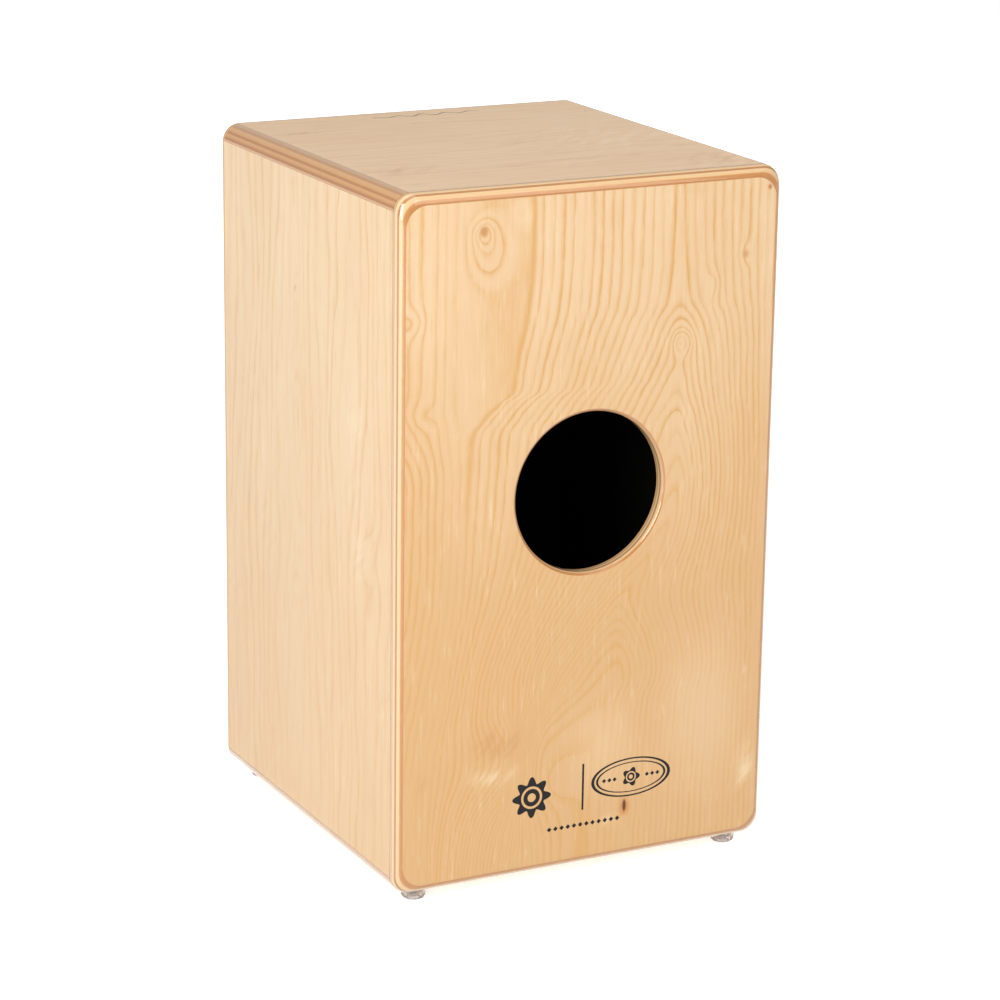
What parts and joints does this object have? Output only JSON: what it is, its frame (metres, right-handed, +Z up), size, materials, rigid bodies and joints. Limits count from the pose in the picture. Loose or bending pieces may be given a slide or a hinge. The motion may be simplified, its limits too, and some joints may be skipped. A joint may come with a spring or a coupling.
{
  "type": "cajon",
  "caption": "Box drum of birch plywood to sit on and play by hand, with a thin playing plate in front, a round sound hole in the back, and adjustable strings inside.",
  "frame": {"origin": "middle of the overall footprint, on the plane that the feet stand on", "axes": "+Z up; the playing face looks along -Y and the back panel with the sound hole along +Y; +X is to the right of someone who faces the playing face"},
  "size_m": [0.296, 0.3018, 0.504],
  "materials": {
    "birch_plywood": "satin lacquer over rotary-cut birch, plies showing at the rounded edges",
    "tapa_veneer": "satin lacquer over thin birch ply",
    "inner_wood": "sanded, unlacquered softwood",
    "clear_bumper": "translucent grey-brown bumper",
    "zinc_steel": "zinc plated",
    "black_steel": "black oxide",
    "brass": "machined brass",
    "wound_bronze": "bronze wound string"
  },
  "bodies": {
    "body": {"seat_panel": "birch_plywood", "bottom_panel": "birch_plywood", "left_side_panel": "birch_plywood", "right_side_panel": "birch_plywood", "back_panel": "birch_plywood", "tapa": "tapa_veneer", "string_bar": "inner_wood", "batten_bottom_left": "inner_wood", "batten_bottom_right": "inner_wood", "batten_top_left": "inner_wood", "batten_top_right": "inner_wood", "foot_front_left": "clear_bumper", "foot_front_right": "clear_bumper", "foot_back_left": "clear_bumper", "foot_back_right": "clear_bumper", "foot_washer_front_left": "zinc_steel", "foot_washer_front_right": "zinc_steel", "foot_washer_back_left": "zinc_steel", "foot_washer_back_right": "zinc_steel", "foot_screw_front_left": "zinc_steel", "foot_screw_front_right": "zinc_steel", "foot_screw_back_left": "zinc_steel", "foot_screw_back_right": "zinc_steel", "tapa_screw_left_1": "black_steel", "tapa_screw_left_2": "black_steel", "tapa_screw_left_3": "black_steel", "tapa_screw_left_4": "black_steel", "tapa_screw_right_1": "black_steel", "tapa_screw_right_2": "black_steel", "tapa_screw_right_3": "black_steel", "tapa_screw_right_4": "black_steel", "tapa_screw_bottom_1": "black_steel", "tapa_screw_bottom_2": "black_steel", "tapa_screw_bottom_3": "black_steel", "tapa_screw_top_1": "black_steel", "tapa_screw_top_2": "black_steel", "tapa_screw_top_3": "black_steel", "string_left_pair_left": "wound_bronze", "string_left_pair_right": "wound_bronze", "string_right_pair_left": "wound_bronze", "string_right_pair_right": "wound_bronze", "tension_washer_left": "zinc_steel", "tension_washer_right": "zinc_steel"},
    "tension_screw_left": {"tension_screw_left": "zinc_steel"},
    "tension_screw_right": {"tension_screw_right": "zinc_steel"},
    "tension_carriage_left": {"tension_carriage_left": "brass"},
    "tension_carriage_right": {"tension_carriage_right": "brass"}
  },
  "joints": [
    {"name": "tension_turn_left", "type": "hinge", "parent": "body", "child": "tension_screw_left", "pos_m": [-0.055, -0.13745, 0.02], "axis": [0, 0, 1], "range_deg": [-1080, 1080]},
    {"name": "carriage_travel_left", "type": "slide", "parent": "body", "child": "tension_carriage_left", "axis": [0, 0, -1], "range_m": [-0.0024, 0.0024], "deforming": ["string_left_pair_left", "string_left_pair_right"]},
    {"name": "tension_turn_right", "type": "hinge", "parent": "body", "child": "tension_screw_right", "pos_m": [0.055, -0.13745, 0.02], "axis": [0, 0, 1], "range_deg": [-1080, 1080]},
    {"name": "carriage_travel_right", "type": "slide", "parent": "body", "child": "tension_carriage_right", "axis": [0, 0, -1], "range_m": [-0.0024, 0.0024], "deforming": ["string_right_pair_left", "string_right_pair_right"]}
  ],
  "couplings": [
    {"joint": "tension_turn_left", "follows": "carriage_travel_left", "rad_per_m": 7854},
    {"joint": "tension_turn_right", "follows": "carriage_travel_right", "rad_per_m": 7854}
  ]
}
